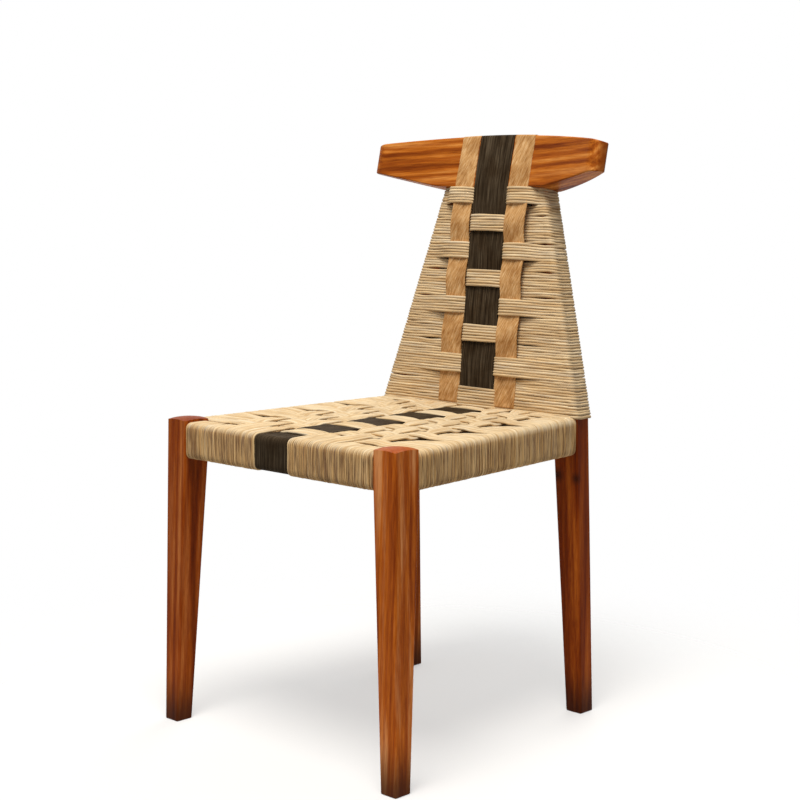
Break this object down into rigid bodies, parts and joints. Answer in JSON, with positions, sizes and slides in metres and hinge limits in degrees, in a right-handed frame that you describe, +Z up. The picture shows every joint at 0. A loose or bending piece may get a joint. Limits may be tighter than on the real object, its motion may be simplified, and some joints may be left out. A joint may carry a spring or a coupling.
{
  "type": "dining chair",
  "caption": "Hardwood dining chair with a woven cord seat, a tapering cord-wound back laced with flat black and tan strips, and a curved crest rail.",
  "frame": {"origin": "centre of the chair's outline, on the floor between the feet", "axes": "+X to the right as seen from the front, +Y backwards, +Z up"},
  "size_m": [0.49, 0.5312, 0.8819],
  "materials": {
    "hardwood": "glossy varnish",
    "dowel_wood": "raw",
    "straw_cord": "natural fibre",
    "black_strip": "dyed fibre, matt",
    "tan_strip": "natural fibre, satin"
  },
  "bodies": {
    "root": {"front_leg_left": "hardwood", "front_leg_right": "hardwood", "rear_leg_left": "hardwood", "rear_leg_right": "hardwood", "front_seat_rail": "hardwood", "rear_seat_rail": "hardwood", "side_seat_rail_left": "hardwood", "side_seat_rail_right": "hardwood", "crest_rail": "hardwood", "lower_back_rail": "hardwood", "front_rail_dowels": "dowel_wood", "rear_rail_dowels": "dowel_wood", "side_rail_dowels_left": "dowel_wood", "side_rail_dowels_right": "dowel_wood", "crest_dowels": "dowel_wood", "lower_back_rail_dowels": "dowel_wood", "seat_long_cords_left": "straw_cord", "seat_long_cords_right": "straw_cord", "seat_cross_cords": "straw_cord", "front_corner_turns": "straw_cord", "back_cords_over_tan": "straw_cord", "back_cords_over_black": "straw_cord", "back_cords_behind_strips": "straw_cord", "seat_black_strip": "black_strip", "back_black_strip": "black_strip", "back_tan_strip_left": "tan_strip", "back_tan_strip_right": "tan_strip"}
  },
  "joints": []
}
